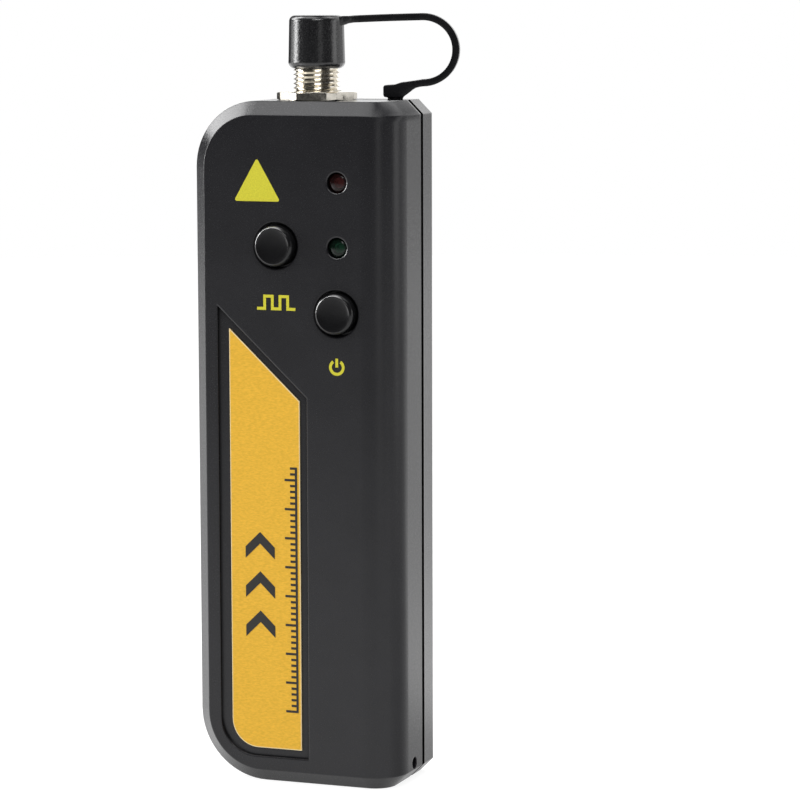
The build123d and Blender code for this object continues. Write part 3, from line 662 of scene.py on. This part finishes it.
def finish_piece(piece, slot, body, angle=35, edge=0.0):
    """Smooths a piece, eases its sharp edges, gives it its finish and hangs it on its body."""
    pick_up(piece)
    smooth(angle)
    if edge:
        ease(piece, edge, angle, segments=2, harden=True)
    wear(piece, slot)
    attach(piece, body)
    put_down_all()


def twin(piece, number):
    """A copy with a mesh of its own, in the same place."""
    copy = piece.copy()
    copy.data = piece.data.copy()
    copy.name = f"{piece.name}_{number}"
    bpy.context.scene.collection.objects.link(copy)
    return copy


def turn_on(stations, middle):
    """Carries the selected ring from the first (radius, height) station through the others."""
    for (radius, height), (next_radius, next_height) in zip(stations, stations[1:]):
        lift = {"value": (0, 0, next_height - height)}
        bpy.ops.mesh.extrude_region_move(TRANSFORM_OT_translate=lift)
        grow = next_radius / radius
        bpy.ops.transform.resize(value=(grow, grow, 1), center_override=(*middle, next_height))


def turned(name, stations, middle=(0, 0), sides=64, closed=True):
    """Turned work through (radius, height) stations: a closed ring, or a rod with filled ends."""
    put_down_all()
    radius, height = stations[0]
    bpy.ops.mesh.primitive_circle_add(vertices=sides, radius=radius, location=(*middle, height))
    piece = begin(name)
    turn_on(stations, middle)
    if closed:
        turn_on([stations[-1], stations[0]], middle)
        outward()
    else:
        close_ends()
    return piece


def face_front(piece, node):
    """Lays work that was turned upright so that its top faces the front, in a node's place."""
    x, _, z = middle_of(node)
    lay(piece, (x, 0, z), (quarter_turn, 0, 0))


# ---------------------------------------------------------------- fibre port
barrel_foot, barrel_top = (end.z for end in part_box("port_barrel"))
port_x = middle_of("port_barrel")[0]
port = (port_x, 0.0)


def make_barrel():
    """Nickel barrel with its fine thread, the ring space, the sleeve holder and the key slot."""
    pitch = 0.75 * mm
    crest = 3.95 * mm
    root = crest - 0.46 * mm
    crest_share = 0.14              # of the pitch
    under_roof = roof - 1.8 * mm
    thread_foot = under_roof + 0.6 * mm
    thread_top = barrel_top - 0.45 * mm
    half_way = (thread_foot + thread_top) / 2
    half_deep = port_x + (root + crest) / 2
    above_top = thread_top + pitch

    # one turn's section of the thread: a square outline, open to the axis, with a narrowed crest
    put_down_all()
    bpy.ops.mesh.primitive_plane_add(
        size=1, location=(half_deep, 0, above_top), rotation=(quarter_turn, 0, 0)
    )
    piece = begin("fibre_port", (crest - root, pitch, 1))
    choose(piece, lambda place: place.x < half_deep)
    bpy.ops.mesh.delete(type="EDGE")
    choose(piece, lambda place: place.x > half_deep)
    bpy.ops.transform.resize(
        value=(1, 1, crest_share), center_override=(port_x + crest, 0, above_top)
    )
    bpy.ops.mesh.select_all(action="SELECT")
    turns = int((thread_top - thread_foot) / pitch) + 3
    bpy.ops.mesh.screw(steps=64, turns=turns, center=(port_x, 0, 0), axis=(0, 0, -1))
    outward()
    for height, above in ((thread_foot, False), (thread_top, True)):
        bpy.ops.mesh.select_all(action="SELECT")
        bpy.ops.mesh.bisect(
            plane_co=(0, 0, height), plane_no=(0, 0, 1), clear_outer=above, clear_inner=not above,
            threshold=on_plane,
        )
    outward()

    # the thread runs out to a round below the top
    run_out = 0.3 * mm
    round_z = thread_top + run_out
    choose_rim(piece, lambda place: place.z > half_way)
    bpy.ops.mesh.extrude_region_move(TRANSFORM_OT_translate={"value": (0, 0, run_out)})
    bpy.ops.transform.tosphere(value=1, center_override=(*port, round_z))
    round_radius = chosen_reach(piece, port)

    # over the top, down the ring space, round the holder, down the bore, and back up outside
    # (radii first, then heights)
    mouth = 2.9 * mm
    holder = 2.1 * mm
    sleeve = 1.65 * mm
    beam = 1.0 * mm
    tail = 3.2 * mm
    collar = 5.6 * mm
    holder_top = barrel_top - 0.8 * mm
    ring_floor = barrel_top - 5.5 * mm
    sleeve_foot = holder_top - 11.1 * mm
    collar_foot = under_roof - 1.6 * mm
    turn_on([
        (round_radius, round_z), (3.5 * mm, barrel_top),
        (mouth, barrel_top), (mouth, ring_floor), (holder, ring_floor), (holder, holder_top),
        (sleeve, holder_top), (sleeve, sleeve_foot), (beam, sleeve_foot), (beam, barrel_foot),
        (tail, barrel_foot), (tail, collar_foot), (collar, collar_foot), (collar, under_roof),
        (root, under_roof), (root, under_roof + 0.3 * mm),
    ], port)
    choose_rim(piece)
    bpy.ops.mesh.bridge_edge_loops()
    outward()

    # the slot that takes a connector's key
    put_down_all()
    bpy.ops.mesh.primitive_cube_add(size=1, location=(port_x, -5 * mm, barrel_top))
    carve(piece, begin("key_slot_cutter", (2.2 * mm, 5.8 * mm, 4.4 * mm)))
    finish_piece(piece, "port_nickel", "housing", angle=28)
    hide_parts("port_barrel")


def make_nut():
    """Hexagon nut: chamfered corners and slightly rounded flats."""
    low, high = (end.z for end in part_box("port_nut"))
    bore = 4.05 * mm
    flat = 6.2 * mm
    corner = 7.15 * mm
    piece = turned("port_nut_hexagon", [
        (bore, low), (6.3 * mm, low), (corner, low + 0.35 * mm), (corner, high - 0.42 * mm),
        (6.05 * mm, high), (4.3 * mm, high), (bore, high - 0.25 * mm),
    ], port, sides=120)

    # each side takes three cuts: the flat, and one that leans away at each end of it
    first_side = 20.7 + 30          # degrees
    rounding = 10                   # degrees
    flat_half = 1.7 * mm
    for side in range(6):
        for lean in (0, -rounding, rounding):
            angle = math.radians(first_side + 60 * side + lean)
            away = math.radians(abs(lean))
            reach = flat * math.cos(away) + flat_half * math.sin(away)
            normal = Vector((math.cos(angle), math.sin(angle), 0))
            bpy.ops.mesh.select_all(action="SELECT")
            bpy.ops.mesh.bisect(
                plane_co=Vector((*port, 0)) + normal * reach, plane_no=normal, clear_outer=True,
                use_fill=True, threshold=on_plane,
            )
    outward()
    finish_piece(piece, "port_nickel", "housing", angle=24, edge=0.07 * mm)
    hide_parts("port_nut")


# ---------------------------------------------------------------- dust cap's strap
def carry_on(sections):
    """Carries the selected end from the first (x, z, thickness, width) through the others."""
    for old, (x, z, thick, width) in zip(sections, sections[1:]):
        step = {"value": (x - old[0], 0, z - old[1])}
        bpy.ops.mesh.extrude_region_move(TRANSFORM_OT_translate=step)
        bpy.ops.transform.resize(
            value=(1, width / old[3], thick / old[2]), center_override=(x, 0, z)
        )


def make_strap():
    """Flat rubber strap: out from the cap's rim, round a loose bend, and back to its block."""
    anchor = Vector((13.6, 3.85)) * mm
    heading = math.atan2(anchor.y, anchor.x - port_x)
    reach = math.hypot(anchor.y, anchor.x - port_x)
    cap_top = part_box("dust_cap")[1].z
    strap_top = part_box("cap_strap")[1].z
    width = 3.2 * mm
    thick = 1.2 * mm
    bend_x = 18.1 * mm
    bend_radius = 6.15 * mm
    bend_z = strap_top - bend_radius
    bend_start = strap_top - thick / 2
    block_low = roof + 0.45 * mm
    block_high = block_low + 2.05 * mm

    # the root flares where it leaves the cap, then the strap climbs to its bend
    root_x = 4.0 * mm
    root_z = cap_top - 0.95 * mm
    root_thick = 1.6 * mm
    root_width = width * 1.4
    neck_x = 6.4 * mm
    neck_z = cap_top - 0.64 * mm
    put_down_all()
    bpy.ops.mesh.primitive_plane_add(
        size=1, location=(root_x, 0, root_z), rotation=(0, quarter_turn, 0)
    )
    piece = begin("cap_strap_rubber", (root_thick, root_width, 1))
    climb = [
        (root_x, root_z, root_thick, root_width),
        (4.9 * mm, root_z + 0.08 * mm, 1.5 * mm, width * 1.25),
        (5.5 * mm, root_z + 0.20 * mm, 1.25 * mm, width * 1.08),
        (neck_x, neck_z, thick, width),
    ]
    steps = 12
    for index in range(1, steps + 1):
        share = index / steps
        rise = share + 0.10 * math.sin(math.pi * share)
        x = neck_x + (bend_x - neck_x) * share
        climb.append((x, neck_z + (bend_start - neck_z) * rise, thick, width))
    carry_on(climb)
    bpy.ops.mesh.spin(steps=30, angle=-math.pi, center=(bend_x, 0, bend_z), axis=(0, 1, 0))

    # the block: its top falls gently, and its underside slopes down to the foot
    heel = reach - 1.95 * mm
    toe = reach + 1.3 * mm
    low = strap_top - 2 * bend_radius
    high = low + thick
    block = [
        (bend_x - 0.6 * mm, low - 0.08 * mm, high - 0.09 * mm),
        (bend_x - 1.2 * mm, low - 0.24 * mm, high - 0.18 * mm),
        (bend_x - 1.7 * mm, low - 0.52 * mm, high - 0.25 * mm),
        (toe + 1.2 * mm, block_low + 0.85 * mm, high - 0.33 * mm),
        (toe + 0.6 * mm, block_low + 0.40 * mm, high - 0.42 * mm),
        (toe + 0.15 * mm, block_low + 0.09 * mm, high - 0.47 * mm),
        (toe - 0.25 * mm, block_low, high - 0.52 * mm),
        (toe - 1.3 * mm, block_low, block_high + 0.10 * mm),
        (heel + 0.45 * mm, block_low, block_high),
        (heel + 0.14 * mm, block_low + 0.10 * mm, block_high - 0.07 * mm),
        (heel, block_low + 0.42 * mm, block_high - 0.34 * mm),
    ]
    bend_end = (bend_x, 2 * bend_z - bend_start, thick, width)
    carry_on([bend_end] + [(x, (foot + top) / 2, top - foot, width) for x, foot, top in block])
    close_ends()
    lay(piece, (port_x, 0, 0), (0, 0, heading))
    ease(piece, 0.22 * mm, 50, segments=3)
    smooth(60)
    wear(piece, "cap_rubber")
    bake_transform(piece)
    piece.visible_glossy = False            # too thin to show in the case
    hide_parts("cap_strap")
    put_down_all()

    # the plug that holds the block: a barbed head under the roof, and a stem through it
    stem = 1.3 * mm
    barb = 1.8 * mm
    hollow = 0.4 * mm
    plug_foot = roof - 3.2 * mm
    barb_top = roof - 1.9 * mm
    stem_top = block_low + 0.1 * mm
    plug = turned("strap_plug", [
        (1.1 * mm, plug_foot), (barb, barb_top - 0.25 * mm), (barb, barb_top), (stem, barb_top),
        (stem, roof + 0.25 * mm), (1.5 * mm, stem_top), (hollow, stem_top), (hollow, plug_foot),
    ], anchor, sides=40)
    finish_piece(plug, "cap_rubber", "housing")
    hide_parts("cap_strap")


# ---------------------------------------------------------------- keys and lamps
def make_button(node, key):
    """Black key with a narrow raised lip round a shallow dish."""
    low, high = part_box(node)
    top = -low.y
    flange_foot = -high.y
    flange_top = flange_foot + 0.8 * mm
    flange = 4.6 * mm
    piece = turned(node + "_cap", [
        # flange
        (0.3 * mm, flange_foot), (4.5 * mm, flange_foot), (flange, flange_foot + 0.1 * mm),
        (flange, flange_foot + 0.7 * mm), (4.5 * mm, flange_top),
        # wall and lip
        (3.55 * mm, flange_top), (3.50 * mm, top - 1.5 * mm), (3.42 * mm, top - 0.50 * mm),
        (3.38 * mm, top - 0.38 * mm), (3.12 * mm, top - 0.08 * mm), (3.06 * mm, top - 0.03 * mm),
        (3.0 * mm, top - 0.005 * mm), (2.94 * mm, top),
        # dish
        (2.86 * mm, top - 0.02 * mm), (2.76 * mm, top - 0.06 * mm), (2.6 * mm, top - 0.09 * mm),
        (2.2 * mm, top - 0.13 * mm), (1.6 * mm, top - 0.16 * mm), (0.8 * mm, top - 0.18 * mm),
        (centre, top - 0.19 * mm),
    ], sides=96, closed=False)
    face_front(piece, node)
    finish_piece(piece, "button_black", key, angle=60)
    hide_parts(node)


def make_lamp(node):
    """Indicator lamp: tinted dome over a little metal cup and its wire."""
    low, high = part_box(node)
    foot = -high.y
    tip = -low.y + 0.32 * mm
    flange = 1.9 * mm
    dome = turned(node + "_dome", [
        (flange, foot), (flange, foot + 1.0 * mm), (1.70 * mm, foot + 1.05 * mm),
        (1.71 * mm, tip - 0.80 * mm), (1.66 * mm, tip - 0.55 * mm), (1.52 * mm, tip - 0.35 * mm),
        (1.26 * mm, tip - 0.19 * mm), (0.88 * mm, tip - 0.08 * mm), (0.45 * mm, tip - 0.02 * mm),
        (centre, tip),
    ], closed=False)
    face_front(dome, node)
    finish_piece(dome, node, "housing", angle=50)
    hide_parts(node)
    wire = 0.28 * mm
    cup = turned(node + "_cup", [
        (wire, foot + 0.3 * mm), (wire, tip - 2.7 * mm), (0.62 * mm, tip - 2.2 * mm),
        (0.80 * mm, tip - 1.45 * mm), (0.76 * mm, tip - 1.38 * mm), (0.60 * mm, tip - 1.38 * mm),
        (0.56 * mm, tip - 1.45 * mm), (0.40 * mm, tip - 2.05 * mm), (centre, tip - 2.08 * mm),
    ], sides=40, closed=False)
    face_front(cup, node)
    finish_piece(cup, "lead_tin", "housing", angle=40)
    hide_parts(node)


# ---------------------------------------------------------------- cells
def make_cell(node):
    """Round cell: a bare metal can with a crimped shoulder and button, in a printed sleeve."""
    low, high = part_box(node)
    middle = middle_of(node)[:2]
    radius = (high.x - low.x) / 2
    can_radius = radius - 0.12 * mm
    length = high.z - low.z
    shoulder = length - 0.8 * mm
    button_up = middle[0] < 0

    def levels(stations):
        """Stations from the flat end, turned over for a cell that stands button down."""
        if button_up:
            return [(r, low.z + height) for r, height in stations]
        return [(r, high.z - height) for r, height in stations]

    can = turned(node + "_can", levels([
        # flat end and wall
        (centre, 0.12 * mm), (3.1 * mm, 0.12 * mm), (3.3 * mm, 0), (4.6 * mm, 0),
        (4.95 * mm, 0.25 * mm), (can_radius, 0.7 * mm), (can_radius, shoulder - 0.7 * mm),
        # crimped shoulder
        (4.9 * mm, shoulder - 0.3 * mm), (4.5 * mm, shoulder - 0.05 * mm),
        (3.9 * mm, shoulder - 0.05 * mm), (3.7 * mm, shoulder - 0.35 * mm),
        (2.4 * mm, shoulder - 0.35 * mm), (2.1 * mm, shoulder - 0.2 * mm),
        # button
        (1.9 * mm, shoulder), (1.9 * mm, length - 0.25 * mm), (1.75 * mm, length - 0.05 * mm),
        (1.55 * mm, length), (centre, length),
    ]), middle, sides=72, closed=False)
    finish_piece(can, "contact_nickel", "housing", angle=30)
    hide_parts(node)
    sleeve_inside = radius - 0.1 * mm
    sleeve = turned(node + "_sleeve", levels([
        (sleeve_inside, 0.35 * mm), (radius - 0.03 * mm, 0.45 * mm), (radius, 0.7 * mm),
        (radius, shoulder - 0.7 * mm), (5.08 * mm, shoulder - 0.3 * mm),
        (4.72 * mm, shoulder - 0.02 * mm), (4.4 * mm, shoulder), (4.3 * mm, shoulder - 0.04 * mm),
        (4.6 * mm, shoulder - 0.12 * mm), (4.95 * mm, shoulder - 0.4 * mm),
        (sleeve_inside, shoulder - 0.8 * mm),
    ]), middle, sides=72)
    finish_piece(sleeve, "cell_sleeve", "housing", angle=30)
    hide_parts(node)


# ---------------------------------------------------------------- case screws
def make_case_screws():
    """Four cross-head screws in the back; one is modelled and the others are copies."""
    low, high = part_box("shell_screws")
    tip = low.y
    seat = high.y - 1.3 * mm
    top = seat + 1.3 * mm
    screw = turned("case_screw", [
        (centre, tip), (0.25 * mm, tip + 0.1 * mm), (0.72 * mm, tip + 1.3 * mm),
        (0.74 * mm, seat), (1.75 * mm, seat), (1.88 * mm, seat + 0.1 * mm),
        (1.9 * mm, seat + 0.62 * mm), (1.78 * mm, seat + 0.95 * mm), (1.5 * mm, seat + 1.16 * mm),
        (1.1 * mm, seat + 1.27 * mm), (0.6 * mm, top), (centre, top),
    ], sides=48, closed=False)

    # recess: two tapering wedges crossed in the middle
    for wedge_turn in (0, quarter_turn):
        put_down_all()
        bpy.ops.mesh.primitive_cube_add(size=1, location=(0, 0, top - 0.15 * mm))
        wedge = begin("recess_wedge", (2.3 * mm, 0.46 * mm, 1.3 * mm))
        choose(wedge, lambda place: place.z < top - 0.2 * mm)
        bpy.ops.transform.resize(value=(0.35, 0.6, 1), center_override=(0, 0, top))
        lay(wedge, turns=(0, 0, wedge_turn))
        carve(screw, wedge)

    lay(screw, turns=(-quarter_turn, 0, 0))
    places = [(-12.4, 105.5), (13.0, 107.0), (-14.5, 22.0), (14.5, 22.0)]       # mm
    screws = [screw] + [twin(screw, number) for number in (2, 3, 4)]
    for one, (x, z) in zip(screws, places):
        lay(one, (x * mm, 0, z * mm))
        finish_piece(one, "screw_steel", "housing", angle=30)
        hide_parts("shell_screws")


make_barrel()
make_strap()
make_nut()
make_button("button_mod", "mod_key")
make_button("button_pwr", "pwr_key")
make_lamp("lamp_red")
make_lamp("lamp_green")
make_cell("cell_left")
make_cell("cell_right")
make_case_screws()
